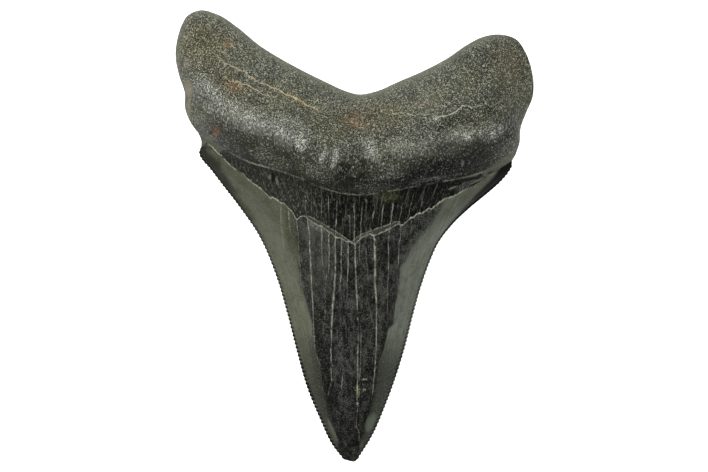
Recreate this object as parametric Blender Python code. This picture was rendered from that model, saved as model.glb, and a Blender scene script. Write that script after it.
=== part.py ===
"""A fossil megalodon tooth, lying on its labial face with its lingual face up.

The tooth is one solid, as it grew: a root with two lobes, a plain band below the root, and a serrated crown.
+Z is up, +Y points towards the root and -Y towards the crown's tip. The origin is the middle of the underside.
The solid is two sheets, lingual and labial, that meet along the outline. A place on a sheet is given by u, which
runs from -1 at the left of the outline to 1 at the right, and by v, which runs down the tooth: 0 is the root's
upper edge, 1 the root's lower edge, 2 the start of the enamel and 3 the tip.
"""

import bmesh
import bpy
import numpy as np
from mathutils import Vector, kdtree, noise

MM = 0.001  # every length below is in millimetres

# The outline seen from above: each run of points is a smooth curve, and the runs meet at corners.
ROOT_TOP = [(-30.2, 36.4), (-29.1, 38.3), (-27.0, 39.3), (-23.6, 38.5), (-20.4, 36.4), (-16.5, 33.2),
            (-11.4, 30.1), (-5.1, 26.9), (-1.6, 25.3), (0.6, 24.7), (3.6, 25.2), (7.6, 26.9), (12.4, 29.0),
            (16.3, 31.1), (19.5, 33.3), (22.3, 34.7), (25.5, 35.1), (28.0, 34.3), (29.7, 32.0), (30.6, 29.7)]
LEFT_RUNS = [
    [(-30.2, 36.4), (-30.8, 34.3), (-31.1, 31.1), (-30.5, 28.0), (-29.5, 24.8), (-29.5, 22.4), (-28.4, 19.6),
     (-27.2, 18.0)],
    [(-27.2, 18.0), (-26.7, 16.8), (-26.7, 15.7)],
    [(-26.7, 15.7), (-27.05, 15.0), (-27.0, 14.2), (-26.4, 13.2), (-25.5, 12.2), (-23.1, 9.1), (-20.1, 5.2),
     (-16.6, 0.0), (-13.9, -6.3), (-11.7, -13.7), (-10.1, -20.0), (-8.3, -26.3), (-6.2, -31.5), (-3.6, -36.8),
     (-1.9, -38.9)],
]
RIGHT_RUNS = [
    [(30.6, 29.7), (31.1, 26.6), (30.9, 24.1), (29.9, 21.7), (28.8, 18.5), (28.7, 16.4), (28.0, 14.2)],
    [(28.0, 14.2), (27.4, 13.2)],
    [(27.4, 13.2), (27.45, 12.4), (27.0, 11.5), (25.9, 10.1), (23.6, 8.0), (20.2, 5.2), (17.0, 2.1),
     (14.6, -1.1), (13.2, -4.2), (11.7, -8.4), (10.2, -13.7), (8.9, -18.9), (7.3, -24.2), (5.4, -29.4),
     (3.1, -34.7), (0.5, -38.9)],
]
TIP = [(-1.9, -38.9), (-0.6, -39.25), (0.5, -38.9)]

# The lines across each face, from the left outline to the right one.
LINGUAL_ROOT_EDGE = [(-27.2, 18.0), (-23.2, 15.5), (-18.3, 12.9), (-14.0, 11.6), (-9.5, 10.1), (-5.1, 8.2),
                     (0.0, 7.2), (6.6, 7.9), (11.1, 8.8), (16.9, 9.8), (20.1, 10.5), (24.4, 12.1), (28.0, 14.2)]
LINGUAL_ENAMEL = [(-26.7, 15.7), (-23.0, 13.6), (-19.0, 10.5), (-14.5, 6.9), (-10.0, 3.5), (-5.0, 1.5),
                  (-0.1, -1.3), (5.0, 1.0), (10.0, 3.2), (15.0, 6.1), (20.2, 8.7), (24.0, 10.8), (27.4, 13.2)]
LABIAL_ROOT_EDGE = [(-27.2, 18.0), (-14.0, 17.3), (0.0, 16.0), (14.0, 16.2), (28.0, 14.2)]
LABIAL_ENAMEL = [(-26.7, 15.7), (-14.0, 12.6), (0.0, 10.6), (14.0, 11.8), (27.4, 13.2)]

# Heights down the tooth: v, the outline, the lingual midline and how far it drops to the sides of the root,
# and the same two for the labial face.
HEIGHTS = [
    (0.00, 6.3, 10.3, 0.8, 1.8, 1.0),
    (0.16, 6.2, 12.0, 2.0, 1.5, 1.8),
    (0.39, 6.0, 15.3, 4.0, 1.3, 2.2),
    (0.60, 5.7, 17.0, 5.3, 1.2, 2.2),
    (0.75, 5.4, 16.5, 5.8, 1.1, 2.0),
    (0.90, 5.0, 14.5, 6.5, 1.1, 1.5),
    (1.00, 4.8, 12.9, 6.9, 1.0, 1.2),
    (1.12, 4.7, 12.2, 7.0, 1.0, 1.0),
    (1.35, 4.5, 11.7, 7.2, 0.9, 0.7),
    (1.65, 4.2, 11.4, 7.3, 0.9, 0.3),
    (2.00, 3.8, 11.2, 7.5, 0.8, 0.0),
    (2.25, 2.5, 9.9, 7.0, 0.2, 0.0),
    (2.50, 2.0, 7.9, 5.0, -0.15, 0.0),
    (2.75, 1.9, 5.6, 3.0, 0.1, 0.0),
    (2.90, 1.8, 3.7, 1.5, 0.8, 0.0),
    (3.00, 1.7, 1.7, 0.0, 1.7, 0.0),
]
# The crown's cross-section on the lingual side: an arched middle and two straighter flanks, as u and share of
# the height. It is the same on both sides.
ARCH_PLACES = [0.0, 0.3, 0.5, 0.6, 0.7, 0.85, 1.0]
ARCH_SHARES = [1.0, 0.94, 0.82, 0.7, 0.52, 0.25, 0.0]
LABIAL_FLATNESS = 0.8  # power of the crown's cross-section on the labial side: lower is flatter
LINGUAL_ROUNDING = 4.0  # radius of the root's edge on each face
LABIAL_ROUNDING = 3.5
ENAMEL_STEP = 0.2  # the enamel stands this much above the band

# The right lobe's worn side: a plane that starts at this line, at this height, and falls outwards.
FACET_START = (25.7, 28.5)
FACET_END = (29.2, 19.0)
FACET_HEIGHT = 10.3
FACET_SLOPE = 0.9

# Shallow hollows of the lingual face: x, y, half width, half length, turn in degrees and depth.
HOLLOWS = [
    (-28.6, 21.5, 1.4, 3.2, 0, 0.8),
    (-5.6, 15.0, 2.2, 4.5, 5, 0.45),
    (7.3, 15.5, 2.4, 4.0, -5, 0.35),
    (20.5, 11.2, 3.2, 0.9, 20, 0.6),
    (-19.5, 23.5, 6.0, 2.0, -32, 0.3),
]
ROUGHNESS = 0.22  # gentle unevenness of the root
ROUGHNESS_LENGTH = 6.5

COLUMNS = 40
ROOT_ROWS = 13
BAND_PLACES = [1.12, 1.4, 1.7, 1.95]
CROWN_ROWS = 28
SERRATIONS_PER_ROW = 3
SERRATION_DEPTH = 0.16
OUTLINE_SPACING = 0.1  # of the points that distances to the outline are measured from
WELD_DISTANCE = 0.001  # the two sheets meet exactly along the outline


def through(knots, values, at):
    """Smooth values at these places, on a curve through the values given at the knots."""
    knots = np.asarray(knots, float)
    values = np.asarray(values, float)
    slopes = np.gradient(values, knots, axis=0)
    before = np.clip(np.searchsorted(knots, at, side="right") - 1, 0, len(knots) - 2)
    gap = knots[before + 1] - knots[before]
    f = (at - knots[before]) / gap
    if values.ndim == 2:
        f = f[:, None]
        gap = gap[:, None]
    start = (2 * f**3 - 3 * f**2 + 1) * values[before] + (f**3 - 2 * f**2 + f) * gap * slopes[before]
    end = (3 * f**2 - 2 * f**3) * values[before + 1] + (f**3 - f**2) * gap * slopes[before + 1]
    return start + end


def along(points, share, middle=None):
    """Points at these shares of a curve's length. The middle point, if one is given, is at 0.5."""
    steps = np.linalg.norm(np.diff(points, axis=0), axis=1)
    lengths = np.append(0, np.cumsum(steps))
    if middle is None:
        knots = lengths / lengths[-1]
    else:
        knots = np.interp(lengths, [0, lengths[middle], lengths[-1]], [0, 0.5, 1])
    return through(knots, points, share)


def nearest_middle(points):
    """The index of the point closest to the tooth's midline."""
    return int(np.argmin(np.abs(np.array(points)[:, 0])))


def patch(upper, lower, left, right, across, down):
    """Places in a four-sided patch between two lines across the face and two runs of the outline."""
    top = along(upper, across, nearest_middle(upper))
    bottom = along(lower, across, nearest_middle(lower))
    s = across[:, None]
    t = down[:, None]
    corners = (1 - s) * ((1 - t) * np.array(upper[0]) + t * np.array(lower[0]))
    corners = corners + s * ((1 - t) * np.array(upper[-1]) + t * np.array(lower[-1]))
    sides = (1 - s) * along(left, down) + s * along(right, down)
    return (1 - t) * top + t * bottom + sides - corners


def face_places(lines, u, v):
    """x and y on a face whose lines across are given from the root's upper edge to the tip."""
    places = np.zeros((len(u), 2))
    for band in range(3):
        here = (v >= band) & ((v < band + 1) | (band == 2))
        across = (u[here] + 1) / 2
        down = v[here] - band
        sides = LEFT_RUNS[band], RIGHT_RUNS[band]
        places[here] = patch(lines[band], lines[band + 1], *sides, across, down)
    return places


def outline_tree(spacing):
    """The outline as a search tree of points at about this spacing, and the direction across it at each."""
    points = []
    across = []
    for run in [ROOT_TOP] + LEFT_RUNS + RIGHT_RUNS:
        length = np.linalg.norm(np.diff(run, axis=0), axis=1).sum()
        run_points = along(run, np.linspace(0, 1, int(length / spacing) + 2))
        tangents = np.gradient(run_points, axis=0)
        tangents = tangents / np.linalg.norm(tangents, axis=1)[:, None]
        points.append(run_points)
        across.append(tangents[:, ::-1] * (-1, 1))
    points = np.concatenate(points)
    tree = kdtree.KDTree(len(points))
    for number, (x, y) in enumerate(points):
        tree.insert((x, y, 0), number)
    tree.balance()
    return tree, points, np.concatenate(across)


def distance_inside(places, u, v):
    """How far each place is from the outline."""
    tree, points, across = outline_tree(OUTLINE_SPACING)
    nearest = [tree.find((x, y, 0))[1] for x, y in places]
    distance = np.abs(((places - points[nearest]) * across[nearest]).sum(axis=1))
    return np.where((v == 0) | (np.abs(u) == 1), 0, distance)


def rounded_edge(distance, radius):
    """A quarter round: 0 at the outline and 1 at this distance inside it."""
    return np.sqrt(1 - (1 - np.clip(distance / radius, 0, 1)) ** 2)


def eased(value):
    """0 to 1 with a slow start and end."""
    value = np.clip(value, 0, 1)
    return value * value * (3 - 2 * value)


def column(index, v):
    """One column of the table of heights, at these places down the tooth."""
    return through([row[0] for row in HEIGHTS], [row[index] for row in HEIGHTS], v)


def hollow_depth(places):
    """The depth of the lingual face's hollows at these places."""
    depth = np.zeros(len(places))
    for x, y, half_width, half_length, turn, deepest in HOLLOWS:
        dx = places[:, 0] - x
        dy = places[:, 1] - y
        c = np.cos(np.radians(turn))
        s = np.sin(np.radians(turn))
        away = ((dx * c + dy * s) / half_width) ** 2 + ((dy * c - dx * s) / half_length) ** 2
        depth += deepest * np.exp(-away)
    return depth


def unevenness(places):
    """Gentle lumps, the same on each run."""
    lumps = [noise.noise(Vector((x, y, 0)) / ROUGHNESS_LENGTH) for x, y in places]
    return ROUGHNESS * np.array(lumps)


def facet_limit(places):
    """The height of the right lobe's worn side, far above the face elsewhere."""
    start = np.array(FACET_START)
    run = np.array(FACET_END) - start
    run = run / np.linalg.norm(run)
    outwards = (places - start) @ np.array([-run[1], run[0]])
    return FACET_HEIGHT - FACET_SLOPE * outwards


def lingual_heights(places, u, v):
    """Heights of the upper face: the root's bulge, the band below it and the arched crown."""
    rim = column(1, v)
    middle = column(2, v)
    edge = rounded_edge(distance_inside(places, u, v), LINGUAL_ROUNDING)
    bulge = middle - column(3, v) * u**2 - hollow_depth(places) + unevenness(places)
    bulge = np.minimum(bulge, facet_limit(places))
    root = rim + (bulge - rim) * edge
    arch = through([-k for k in ARCH_PLACES[:0:-1]] + ARCH_PLACES, ARCH_SHARES[:0:-1] + ARCH_SHARES, u)
    step = ENAMEL_STEP * (v >= 2) * eased(4 * (1 - np.abs(u))) * eased((3 - v) * 2)
    crown = rim + (middle - rim) * arch + step
    return root + (crown - root) * eased(v - 1)


def labial_heights(places, u, v):
    """Heights of the underside, cut off level where the tooth rests."""
    rim = column(1, v)
    middle = column(4, v)
    edge = rounded_edge(distance_inside(places, u, v), LABIAL_ROUNDING)
    root = rim + (middle - column(5, v) * u**2 - rim) * edge
    crown = rim + (middle - rim) * (1 - u**2) ** LABIAL_FLATNESS
    return np.maximum(root + (crown - root) * eased((v - 0.6) / 1.6), 0)


def row_places():
    """v of each row: close together at the root's edges, even down the crown."""
    root = (1 - np.cos(np.pi * np.arange(ROOT_ROWS) / ROOT_ROWS)) / 2
    crown = 2 + np.arange(CROWN_ROWS + 1) / CROWN_ROWS
    return np.concatenate([root, [1.0], BAND_PLACES, crown])


def add_sheet(mesh, lines, heights, rows):
    """One face of the tooth as a grid of vertices. Returns them as rows from the root to the tip."""
    grid = bmesh.ops.create_grid(mesh, x_segments=COLUMNS, y_segments=len(rows) - 1, size=1)["verts"]
    even = np.array([vert.co.x for vert in grid])
    v = np.repeat(rows, COLUMNS + 1)
    crowded = np.sin(even * np.pi / 2)
    u = crowded + (even - crowded) * eased(v - 1)
    places = face_places(lines, u, v)
    for vert, (x, y), z in zip(grid, places, heights(places, u, v)):
        vert.co = (x, y, z)
    return [grid[start:start + COLUMNS + 1] for start in range(0, len(grid), COLUMNS + 1)]


def cut_serrations(mesh, edge, outwards):
    """Cuts small teeth into one blade, given its vertices in order and the side that it faces."""
    for upper, lower in zip(edge, edge[1:]):
        run = (lower.co - upper.co).normalized()
        away = Vector((-run.y, run.x, 0)) * outwards
        points = [upper]
        for left in range(2 * SERRATIONS_PER_ROW, 1, -1):
            side = mesh.edges.get((points[-1], lower))
            points.append(bmesh.utils.edge_split(side, points[-1], 1 / left)[1])
        for point in points[1::2]:
            point.co += away * SERRATION_DEPTH


def fossil_material():
    """Dark grey-green mineral with a slight polish."""
    material = bpy.data.materials.new("fossil")
    material.use_nodes = True
    surface = material.node_tree.nodes["Principled BSDF"]
    surface.inputs["Base Color"].default_value = (0.075, 0.078, 0.062, 1)
    surface.inputs["Roughness"].default_value = 0.45
    surface.inputs["Metallic"].default_value = 0.0
    return material


def tooth_mesh():
    """The closed surface of the tooth, in metres."""
    mesh = bmesh.new()
    rows = row_places()
    lingual_lines = [ROOT_TOP, LINGUAL_ROOT_EDGE, LINGUAL_ENAMEL, TIP]
    labial_lines = [ROOT_TOP, LABIAL_ROOT_EDGE, LABIAL_ENAMEL, TIP]
    for lines, heights in ((lingual_lines, lingual_heights), (labial_lines, labial_heights)):
        crown = add_sheet(mesh, lines, heights, rows)[-CROWN_ROWS - 1:]
        cut_serrations(mesh, [row[0] for row in crown], -1)
        cut_serrations(mesh, [row[-1] for row in crown], 1)
    bmesh.ops.remove_doubles(mesh, verts=mesh.verts, dist=WELD_DISTANCE)
    bmesh.ops.triangulate(mesh, faces=mesh.faces)
    bmesh.ops.recalc_face_normals(mesh, faces=mesh.faces)
    bmesh.ops.scale(mesh, vec=(MM, MM, MM), verts=mesh.verts)
    data = bpy.data.meshes.new("tooth")
    mesh.to_mesh(data)
    mesh.free()
    return data


for old in list(bpy.data.objects):
    bpy.data.objects.remove(old, do_unlink=True)
collection = bpy.data.collections.new("megalodon_tooth")
bpy.context.scene.collection.children.link(collection)
tooth = bpy.data.objects.new("tooth", tooth_mesh())
tooth.data.materials.append(fossil_material())
tooth.data.shade_smooth()
tooth.data.set_sharp_from_angle(angle=np.radians(50))
collection.objects.link(tooth)
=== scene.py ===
import bmesh
import bpy
import numpy as np
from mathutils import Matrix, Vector, kdtree, noise


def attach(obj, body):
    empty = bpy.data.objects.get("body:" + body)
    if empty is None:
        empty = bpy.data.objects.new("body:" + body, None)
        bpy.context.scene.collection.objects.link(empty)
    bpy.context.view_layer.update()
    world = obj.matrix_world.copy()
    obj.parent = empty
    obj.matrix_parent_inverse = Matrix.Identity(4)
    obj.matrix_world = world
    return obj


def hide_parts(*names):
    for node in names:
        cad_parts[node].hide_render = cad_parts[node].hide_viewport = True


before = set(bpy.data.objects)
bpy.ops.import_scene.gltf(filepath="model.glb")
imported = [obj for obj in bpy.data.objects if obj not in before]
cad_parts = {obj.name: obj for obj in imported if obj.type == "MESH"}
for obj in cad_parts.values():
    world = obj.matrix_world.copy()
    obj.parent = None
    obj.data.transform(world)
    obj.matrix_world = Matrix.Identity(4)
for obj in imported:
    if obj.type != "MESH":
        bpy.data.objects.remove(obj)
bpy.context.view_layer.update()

# The tooth's outline, seen from above in millimetres, and the lines that cross its two faces.
# Each run of points is a smooth curve, and the runs meet at the corners of the shoulders and of the lobes.
MM = 0.001
ROOT_TOP = [(-30.2, 36.4), (-29.1, 38.3), (-27.0, 39.3), (-23.6, 38.5), (-20.4, 36.4), (-16.5, 33.2),
            (-11.4, 30.1), (-5.1, 26.9), (-1.6, 25.3), (0.6, 24.7), (3.6, 25.2), (7.6, 26.9), (12.4, 29.0),
            (16.3, 31.1), (19.5, 33.3), (22.3, 34.7), (25.5, 35.1), (28.0, 34.3), (29.7, 32.0),
            (30.6, 29.7)]
LEFT_RUNS = [
    [(-30.2, 36.4), (-30.8, 34.3), (-31.1, 31.1), (-30.5, 28.0), (-29.5, 24.8), (-29.5, 22.4),
     (-28.4, 19.6), (-27.2, 18.0)],
    [(-27.2, 18.0), (-26.7, 16.8), (-26.7, 15.7)],
    [(-26.7, 15.7), (-27.05, 15.0), (-27.0, 14.2), (-26.4, 13.2), (-25.5, 12.2), (-23.1, 9.1), (-20.1, 5.2),
     (-16.6, 0.0), (-13.9, -6.3), (-11.7, -13.7), (-10.1, -20.0), (-8.3, -26.3), (-6.2, -31.5),
     (-3.6, -36.8), (-1.9, -38.9)],
]
RIGHT_RUNS = [
    [(30.6, 29.7), (31.1, 26.6), (30.9, 24.1), (29.9, 21.7), (28.8, 18.5), (28.7, 16.4), (28.0, 14.2)],
    [(28.0, 14.2), (27.4, 13.2)],
    [(27.4, 13.2), (27.45, 12.4), (27.0, 11.5), (25.9, 10.1), (23.6, 8.0), (20.2, 5.2), (17.0, 2.1),
     (14.6, -1.1), (13.2, -4.2), (11.7, -8.4), (10.2, -13.7), (8.9, -18.9), (7.3, -24.2), (5.4, -29.4),
     (3.1, -34.7), (0.5, -38.9)],
]
TIP = [(-1.9, -38.9), (-0.6, -39.25), (0.5, -38.9)]
LINGUAL_ROOT_EDGE = [(-27.2, 18.0), (-23.2, 15.5), (-18.3, 12.9), (-14.0, 11.6), (-9.5, 10.1), (-5.1, 8.2),
                     (0.0, 7.2), (6.6, 7.9), (11.1, 8.8), (16.9, 9.8), (20.1, 10.5), (24.4, 12.1),
                     (28.0, 14.2)]
LINGUAL_ENAMEL = [(-26.7, 15.7), (-23.0, 13.6), (-19.0, 10.5), (-14.5, 6.9), (-10.0, 3.5), (-5.0, 1.5),
                  (-0.1, -1.3), (5.0, 1.0), (10.0, 3.2), (15.0, 6.1), (20.2, 8.7), (24.0, 10.8),
                  (27.4, 13.2)]
LABIAL_ROOT_EDGE = [(-27.2, 18.0), (-14.0, 17.3), (0.0, 16.0), (14.0, 16.2), (28.0, 14.2)]
LABIAL_ENAMEL = [(-26.7, 15.7), (-14.0, 12.6), (0.0, 10.6), (14.0, 11.8), (27.4, 13.2)]


def through(knots, values, at):
    """Smooth values at these places, on a curve through the values given at the knots."""
    knots = np.asarray(knots, float)
    values = np.asarray(values, float)
    slopes = np.gradient(values, knots, axis=0)
    before = np.clip(np.searchsorted(knots, at, side="right") - 1, 0, len(knots) - 2)
    gap = knots[before + 1] - knots[before]
    f = (at - knots[before]) / gap
    if values.ndim == 2:
        f = f[:, None]
        gap = gap[:, None]
    start = (2 * f**3 - 3 * f**2 + 1) * values[before] + (f**3 - 2 * f**2 + f) * gap * slopes[before]
    end = (3 * f**2 - 2 * f**3) * values[before + 1] + (f**3 - f**2) * gap * slopes[before + 1]
    return start + end


def along(points, share, middle=None):
    """Points at these shares of a curve's length. The middle point, if one is given, is at 0.5."""
    steps = np.linalg.norm(np.diff(points, axis=0), axis=1)
    lengths = np.append(0, np.cumsum(steps))
    if middle is None:
        knots = lengths / lengths[-1]
    else:
        knots = np.interp(lengths, [0, lengths[middle], lengths[-1]], [0, 0.5, 1])
    return through(knots, points, share)


def nearest_middle(points):
    """The index of the point closest to the tooth's midline."""
    return int(np.argmin(np.abs(np.array(points)[:, 0])))


def patch(upper, lower, left, right, across, down):
    """Places in a four-sided patch between two lines across the face and two runs of the outline."""
    top = along(upper, across, nearest_middle(upper))
    bottom = along(lower, across, nearest_middle(lower))
    s = across[:, None]
    t = down[:, None]
    corners = (1 - s) * ((1 - t) * np.array(upper[0]) + t * np.array(lower[0]))
    corners = corners + s * ((1 - t) * np.array(upper[-1]) + t * np.array(lower[-1]))
    sides = (1 - s) * along(left, down) + s * along(right, down)
    return (1 - t) * top + t * bottom + sides - corners


ROOT_EDGE = 1  # v at the root's lower edge
ENAMEL_EDGE = 2  # v where the enamel starts
TIP_EDGE = 3  # v at the tip


def face_places(lines, u, v):
    """x and y on a face. u is -1 at the left outline and 1 at the right. v is 0 at the root's upper edge and
    runs down the tooth to its tip."""
    places = np.zeros((len(u), 2))
    for band in range(TIP_EDGE):
        here = (v >= band) & ((v < band + 1) | (band == ENAMEL_EDGE))
        across = (u[here] + 1) / 2
        down = v[here] - band
        sides = LEFT_RUNS[band], RIGHT_RUNS[band]
        places[here] = patch(lines[band], lines[band + 1], *sides, across, down)
    return places


LINE_POINTS = 400  # how many points stand for a line across a face


def line_height(points, x):
    """y of a line across the face, at these x."""
    fine = along(points, np.linspace(0, 1, LINE_POINTS))
    return np.interp(x, fine[:, 0], fine[:, 1])


# The body of the tooth: the root's round bulge, the plain band below it and the arched crown, all one mineral
# mass. The thickness is given down the tooth: v, the outline's height, the upper face at the midline and its
# drop to the sides, and the same two for the underside, in millimetres.
HEIGHTS = [
    (0.00, 6.3, 10.3, 0.8, 1.8, 1.0),
    (0.16, 6.2, 12.0, 2.0, 1.5, 1.8),
    (0.39, 6.0, 15.3, 4.0, 1.3, 2.2),
    (0.60, 5.7, 17.0, 5.3, 1.2, 2.2),
    (0.75, 5.4, 16.5, 5.8, 1.1, 2.0),
    (0.90, 5.0, 14.5, 6.5, 1.1, 1.5),
    (1.00, 4.8, 12.9, 6.9, 1.0, 1.2),
    (1.12, 4.7, 12.2, 7.0, 1.0, 1.0),
    (1.35, 4.5, 11.7, 7.2, 0.9, 0.7),
    (1.65, 4.2, 11.4, 7.3, 0.9, 0.3),
    (2.00, 3.8, 11.2, 7.5, 0.8, 0.0),
    (2.25, 2.5, 9.9, 7.0, 0.2, 0.0),
    (2.50, 2.0, 7.9, 5.0, -0.15, 0.0),
    (2.75, 1.9, 5.6, 3.0, 0.1, 0.0),
    (2.90, 1.8, 3.7, 1.5, 0.8, 0.0),
    (3.00, 1.7, 1.7, 0.0, 1.7, 0.0),
]
# The crown's arch on the upper face, as u and share of the height. It is the same on both sides.
ARCH_PLACES = [0.0, 0.3, 0.5, 0.6, 0.7, 0.85, 1.0]
ARCH_SHARES = [1.0, 0.94, 0.82, 0.7, 0.52, 0.25, 0.0]
LABIAL_FLATNESS = 0.8  # power of the crown's arch on the underside: lower is flatter
LABIAL_CHANGE = (0.6, 1.6)  # v where the underside starts to turn from root to crown, and over how much
LINGUAL_ROUNDING = 4.0  # radius of the root's edge on each face
LABIAL_ROUNDING = 3.5
ENAMEL_STEP = 0.2  # the enamel stands this much above the band
# The right lobe's worn side: a plane that starts at this line, at this height, and falls outwards.
FACET_START = (25.7, 28.5)
FACET_END = (29.2, 19.0)
FACET_HEIGHT = 10.3
FACET_SLOPE = 0.9
# Hollows, wrinkles and pits of the upper face: x, y, half width, half length, turn in degrees and depth.
HOLLOWS = [
    (-28.6, 21.5, 1.4, 3.2, 0, 0.8),
    (-5.6, 15.0, 2.2, 4.5, 5, 0.45),
    (7.3, 15.5, 2.4, 4.0, -5, 0.35),
    (20.5, 11.2, 3.2, 0.9, 20, 0.6),
    (-19.5, 23.5, 6.0, 2.0, -32, 0.3),
    (-14.1, 10.1, 0.45, 0.8, 10, 0.5),
    (-2.3, 13.3, 0.35, 1.6, -8, 0.16),
    (-0.9, 12.9, 0.35, 1.8, 0, 0.16),
    (0.5, 13.0, 0.35, 1.5, 6, 0.12),
    (17.5, 9.3, 1.5, 0.3, 22, 0.3),
    (22.8, 11.4, 1.8, 0.3, 24, 0.35),
]
LUMPS = [(6.5, 0.22), (2.4, 0.07), (1.1, 0.03)]  # size and depth of the root's unevenness
SPACING = 0.1  # of the points that distances to the outline are measured from


def outline_tree():
    """The outline as a search tree of points, and the direction across it at each."""
    points = []
    across = []
    for run in [ROOT_TOP] + LEFT_RUNS + RIGHT_RUNS:
        length = np.linalg.norm(np.diff(run, axis=0), axis=1).sum()
        run_points = along(run, np.linspace(0, 1, int(length / SPACING) + 2))
        tangents = np.gradient(run_points, axis=0)
        tangents = tangents / np.linalg.norm(tangents, axis=1)[:, None]
        points.append(run_points)
        across.append(tangents[:, ::-1] * (-1, 1))
    points = np.concatenate(points)
    tree = kdtree.KDTree(len(points))
    for number, (x, y) in enumerate(points):
        tree.insert((x, y, 0), number)
    tree.balance()
    return tree, points, np.concatenate(across)


OUTLINE = outline_tree()


def to_outline(places, u, v):
    """How far each place is from the outline, and the direction outwards."""
    tree, points, across = OUTLINE
    nearest = [tree.find((x, y, 0))[1] for x, y in places]
    outwards = across[nearest] * np.where(across[nearest][:, 0] * u < 0, -1, 1)[:, None]
    distance = np.abs(((places - points[nearest]) * across[nearest]).sum(axis=1))
    return np.where((v == 0) | (np.abs(u) == 1), 0, distance), outwards


def rounded_edge(distance, radius):
    """A quarter round: 0 at the outline and 1 at this distance inside it."""
    return np.sqrt(1 - (1 - np.clip(distance / radius, 0, 1)) ** 2)


def eased(value):
    """0 to 1 with a slow start and end."""
    value = np.clip(value, 0, 1)
    return value * value * (3 - 2 * value)


def column(index, v):
    """One column of the table of heights, at these places down the tooth."""
    return through([row[0] for row in HEIGHTS], [row[index] for row in HEIGHTS], v)


def hollow_depth(places):
    """The depth of the hollows, wrinkles and pits of the upper face."""
    depth = np.zeros(len(places))
    for x, y, half_width, half_length, turn, deepest in HOLLOWS:
        dx = places[:, 0] - x
        dy = places[:, 1] - y
        c = np.cos(np.radians(turn))
        s = np.sin(np.radians(turn))
        away = ((dx * c + dy * s) / half_width) ** 2 + ((dy * c - dx * s) / half_length) ** 2
        depth += deepest * np.exp(-away)
    return depth


def unevenness(places):
    """Lumps of a few sizes."""
    total = np.zeros(len(places))
    for size, depth in LUMPS:
        total += depth * np.array([noise.noise(Vector((x, y, 0)) / size) for x, y in places])
    return total


def facet_limit(places):
    """The height of the right lobe's worn side, far above the face elsewhere."""
    start = np.array(FACET_START)
    run = np.array(FACET_END) - start
    run = run / np.linalg.norm(run)
    outwards = (places - start) @ np.array([-run[1], run[0]])
    return FACET_HEIGHT - FACET_SLOPE * outwards


def lingual_heights(places, distance, u, v):
    """Heights of the upper face: the root's bulge, the band below it and the arched crown."""
    rim = column(1, v)
    middle = column(2, v)
    bulge = middle - column(3, v) * u**2 - hollow_depth(places) + unevenness(places)
    bulge = np.minimum(bulge, facet_limit(places))
    root = rim + (bulge - rim) * rounded_edge(distance, LINGUAL_ROUNDING)
    arch = through([-k for k in ARCH_PLACES[:0:-1]] + ARCH_PLACES, ARCH_SHARES[:0:-1] + ARCH_SHARES, u)
    step = ENAMEL_STEP * (v >= ENAMEL_EDGE) * eased(4 * (1 - np.abs(u))) * eased((TIP_EDGE - v) * 2)
    crown = rim + (middle - rim) * arch + step
    return root + (crown - root) * eased(v - ROOT_EDGE)


def labial_heights(places, distance, u, v):
    """Heights of the underside, level where the tooth rests."""
    rim = column(1, v)
    middle = column(4, v)
    root = rim + (middle - column(5, v) * u**2 - rim) * rounded_edge(distance, LABIAL_ROUNDING)
    crown = rim + (middle - rim) * (1 - u**2) ** LABIAL_FLATNESS
    return np.maximum(root + (crown - root) * eased((v - LABIAL_CHANGE[0]) / LABIAL_CHANGE[1]), 0)


# The skin of the tooth: two grids, one for each face, that meet along the outline. The blades are cut into
# small even serrations, which stand out of the edge and show on both faces as a strip of beads. The enamel
# starts in short steps, as it chips along its own cracks.
COLUMNS = 164
ROOT_ROWS = 56
BAND_ROWS = 14
SERRATIONS = 84
SERRATED = (2.01, 2.995)  # v of the blades' first and last serration
CHIP_FADE_ABOVE = 1.5  # how fast the rows straighten again, away from the chipped edge: higher is sooner
CHIP_FADE_BELOW = 12
WELD = 0.0005  # the two faces meet exactly along the outline
SHARP_DEGREES = 60  # edges that are more bent than this are shaded sharp
SERRATION_REACH = 0.08  # half the depth of the serrations
BEAD_HEIGHT = 0.05  # half the height of the beads, and the width of their strip
BEAD_STRIP = 0.7
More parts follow.
